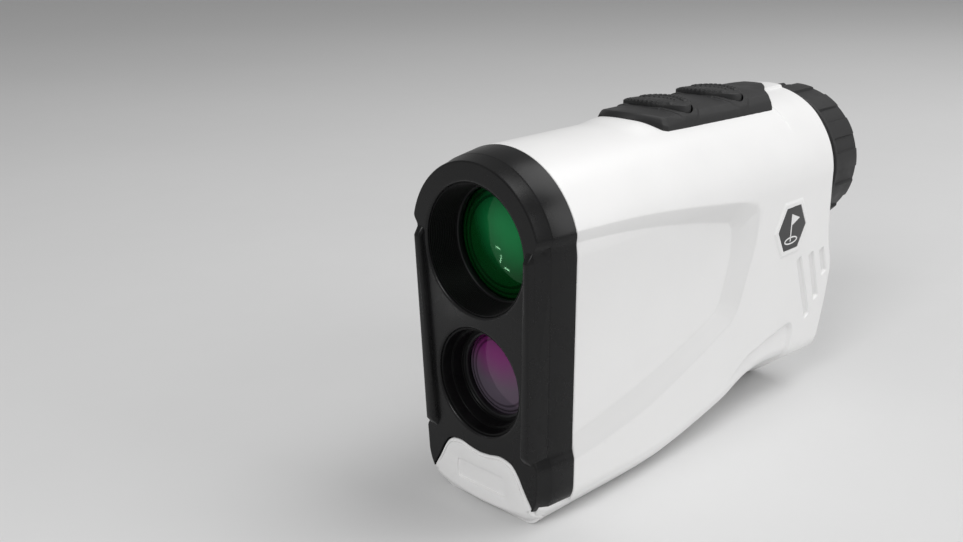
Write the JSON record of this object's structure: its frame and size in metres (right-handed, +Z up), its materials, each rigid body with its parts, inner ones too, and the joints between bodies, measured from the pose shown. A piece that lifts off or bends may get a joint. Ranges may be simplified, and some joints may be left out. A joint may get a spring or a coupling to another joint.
{
  "type": "laser rangefinder",
  "caption": "Handheld monocular laser rangefinder with a black front bezel, stacked objective and emitter lenses, top buttons, a turning eyepiece ring and a front battery door.",
  "frame": {"origin": "middle of the underside, under the centre of the object's box", "axes": "+Y from the objective end to the eyepiece end, +Z up, +X to the side that carries the left badge"},
  "size_m": [0.0394, 0.122, 0.0791],
  "materials": {
    "white_shell": "satin moulded",
    "bezel_black": "satin moulded",
    "soft_black": "soft touch",
    "seal_rubber": "matte",
    "anodised_black": "black anodised",
    "objective_glass": "green coated",
    "emitter_glass": "purple coated",
    "clear_glass": "polished",
    "frame_plastic": "moulded",
    "steel": "brushed",
    "contact_brass": "plated",
    "board_green": "solder mask",
    "switch_black": "moulded",
    "battery_wrap": "printed sleeve",
    "badge_black": "printed plate"
  },
  "bodies": {
    "housing": {"housing": "white_shell", "bottom_cover": "white_shell", "cover_screws": "steel", "front_bezel": "bezel_black", "bezel_gasket": "seal_rubber", "objective_hood": "bezel_black", "objective_barrel": "anodised_black", "objective_retainer": "anodised_black", "objective_lens": "objective_glass", "emitter_hood": "bezel_black", "emitter_barrel": "anodised_black", "emitter_retainer": "anodised_black", "emitter_lens": "emitter_glass", "laser_diode": "contact_brass", "laser_board": "board_green", "optical_frame": "frame_plastic", "prism_holder": "frame_plastic", "half_penta_prism": "clear_glass", "roof_prism": "clear_glass", "reticle_display": "clear_glass", "display_mount": "anodised_black", "field_stop": "anodised_black", "receiver_sensor": "steel", "receiver_board": "board_green", "main_board": "board_green", "board_screws": "steel", "motor_can": "steel", "motor_clip": "frame_plastic", "battery": "battery_wrap", "battery_cradle": "frame_plastic", "front_contact": "contact_brass", "rear_contact": "contact_brass", "door_hinge_pin": "steel", "top_pad": "soft_black", "switch_bases": "frame_plastic", "button_board": "board_green", "eyepiece_tube": "anodised_black", "eyepiece_screws": "steel", "ring_seal": "seal_rubber", "ring_clip": "steel", "left_badge": "badge_black", "right_badge": "badge_black"},
    "battery_door": {"battery_door": "white_shell", "door_seal": "seal_rubber"},
    "front_button": {"front_button": "soft_black", "front_switch_stem": "switch_black"},
    "rear_button": {"rear_button": "soft_black", "rear_switch_stem": "switch_black"},
    "diopter_ring": {"diopter_ring": "soft_black"},
    "ocular": {"ocular_cell": "anodised_black", "focus_key": "steel", "field_lens": "clear_glass", "eye_lens": "clear_glass", "eyecup": "seal_rubber"},
    "motor_weight": {"motor_weight": "steel"}
  },
  "joints": [
    {"name": "door_swing", "type": "hinge", "parent": "housing", "child": "battery_door", "pos_m": [0, -0.0201, 0.002], "axis": [1, 0, 0], "range_deg": [0, 90]},
    {"name": "front_press", "type": "slide", "parent": "housing", "child": "front_button", "axis": [0, 0, -1], "range_m": [0, 0.0008], "stiffness_N_per_m": 2500, "springref_m": -0.0004},
    {"name": "rear_press", "type": "slide", "parent": "housing", "child": "rear_button", "axis": [0, 0, -1], "range_m": [0, 0.0008], "stiffness_N_per_m": 2500, "springref_m": -0.0004},
    {"name": "diopter_turn", "type": "hinge", "parent": "housing", "child": "diopter_ring", "pos_m": [0, 0.0523, 0.0565], "axis": [0, 1, 0], "range_deg": [-150, 150]},
    {"name": "ocular_focus", "type": "slide", "parent": "housing", "child": "ocular", "axis": [0, 1, 0], "range_m": [-0.0011, 0.0011]},
    {"name": "motor_spin", "type": "hinge", "parent": "housing", "child": "motor_weight", "pos_m": [0.006, 0.0243, 0.025], "axis": [0, 1, 0], "continuous": true}
  ],
  "couplings": [
    {"joint": "diopter_turn", "follows": "ocular_focus", "rad_per_m": 2380.9}
  ]
}
